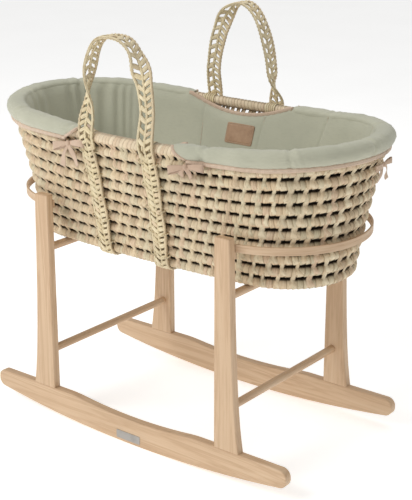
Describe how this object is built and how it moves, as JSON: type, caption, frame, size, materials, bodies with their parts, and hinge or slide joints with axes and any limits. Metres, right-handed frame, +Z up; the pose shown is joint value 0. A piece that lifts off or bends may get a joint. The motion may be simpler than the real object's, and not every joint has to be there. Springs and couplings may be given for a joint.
{
  "type": "bassinet on stand",
  "caption": "Oval woven basket with a quilted liner, two carrying handles and a mattress, resting on the rails and inside the bent bands of a wooden rocking stand.",
  "frame": {"origin": "on the floor under the middle of the stand, at the bottom centre of the bounding box", "axes": "+X along the rockers to the foot end, +Y across from front to rear, +Z up"},
  "size_m": [0.8571, 0.4384, 0.8351],
  "materials": {
    "pine": "satin oiled",
    "palm_coil": "matt dried leaf",
    "palm_plait": "matt dried leaf",
    "sage_quilt": "matt cotton",
    "bias_tape": "matt cotton",
    "patch_leather": "matt",
    "plate_metal": "brushed",
    "screw_steel": "zinc plated",
    "mattress_cotton": "matt cotton",
    "mattress_foam": "open-cell foam"
  },
  "bodies": {
    "stand": {"rocker_front": "pine", "rocker_rear": "pine", "leg_front_foot": "pine", "leg_front_head": "pine", "leg_rear_foot": "pine", "leg_rear_head": "pine", "leg_dowels": "pine", "crossbar_foot": "pine", "crossbar_head": "pine", "support_rail_foot": "pine", "support_rail_head": "pine", "bent_band_foot": "pine", "bent_band_head": "pine", "band_screws": "screw_steel", "rocker_plate": "plate_metal"},
    "basket": {"base_mat": "palm_coil", "wall_row_01": "palm_coil", "wall_row_02": "palm_coil", "wall_row_03": "palm_coil", "wall_row_04": "palm_coil", "wall_row_05": "palm_coil", "wall_row_06": "palm_coil", "wall_row_07": "palm_coil", "wall_row_08": "palm_coil", "wall_row_09": "palm_coil", "wall_row_10": "palm_coil", "rim_coil": "palm_coil", "carry_strap_head": "palm_plait", "carry_strap_foot": "palm_plait", "liner_bag": "sage_quilt", "liner_flap_head": "sage_quilt", "liner_flap_foot": "sage_quilt", "flap_binding_head": "bias_tape", "flap_binding_foot": "bias_tape", "scoop_binding_front": "bias_tape", "scoop_binding_rear": "bias_tape", "tie_bow_front_head": "bias_tape", "tie_bow_front_foot": "bias_tape", "tie_bow_rear_head": "bias_tape", "tie_bow_rear_foot": "bias_tape", "end_tie_foot": "bias_tape", "end_tie_head": "bias_tape", "liner_patch": "patch_leather"},
    "handle_front": {"handle_front": "palm_plait"},
    "handle_rear": {"handle_rear": "palm_plait"},
    "mattress": {"mattress_cover": "mattress_cotton", "mattress_core": "mattress_foam"}
  },
  "joints": [
    {"name": "basket_lift", "type": "slide", "parent": "stand", "child": "basket", "axis": [0, 0, 1], "range_m": [0, 0.25]},
    {"name": "handle_front_tip", "type": "hinge", "parent": "basket", "child": "handle_front", "pos_m": [-0.009, -0.20034, 0.62168], "axis": [1, 0, -0.0022], "range_deg": [-50, 110]},
    {"name": "handle_rear_tip", "type": "hinge", "parent": "basket", "child": "handle_rear", "pos_m": [-0.026, 0.20017, 0.62175], "axis": [-1, 0, 0.0062], "range_deg": [-50, 110]},
    {"name": "mattress_lift", "type": "slide", "parent": "basket", "child": "mattress", "axis": [0, 0, 1], "range_m": [0, 0.2]}
  ]
}
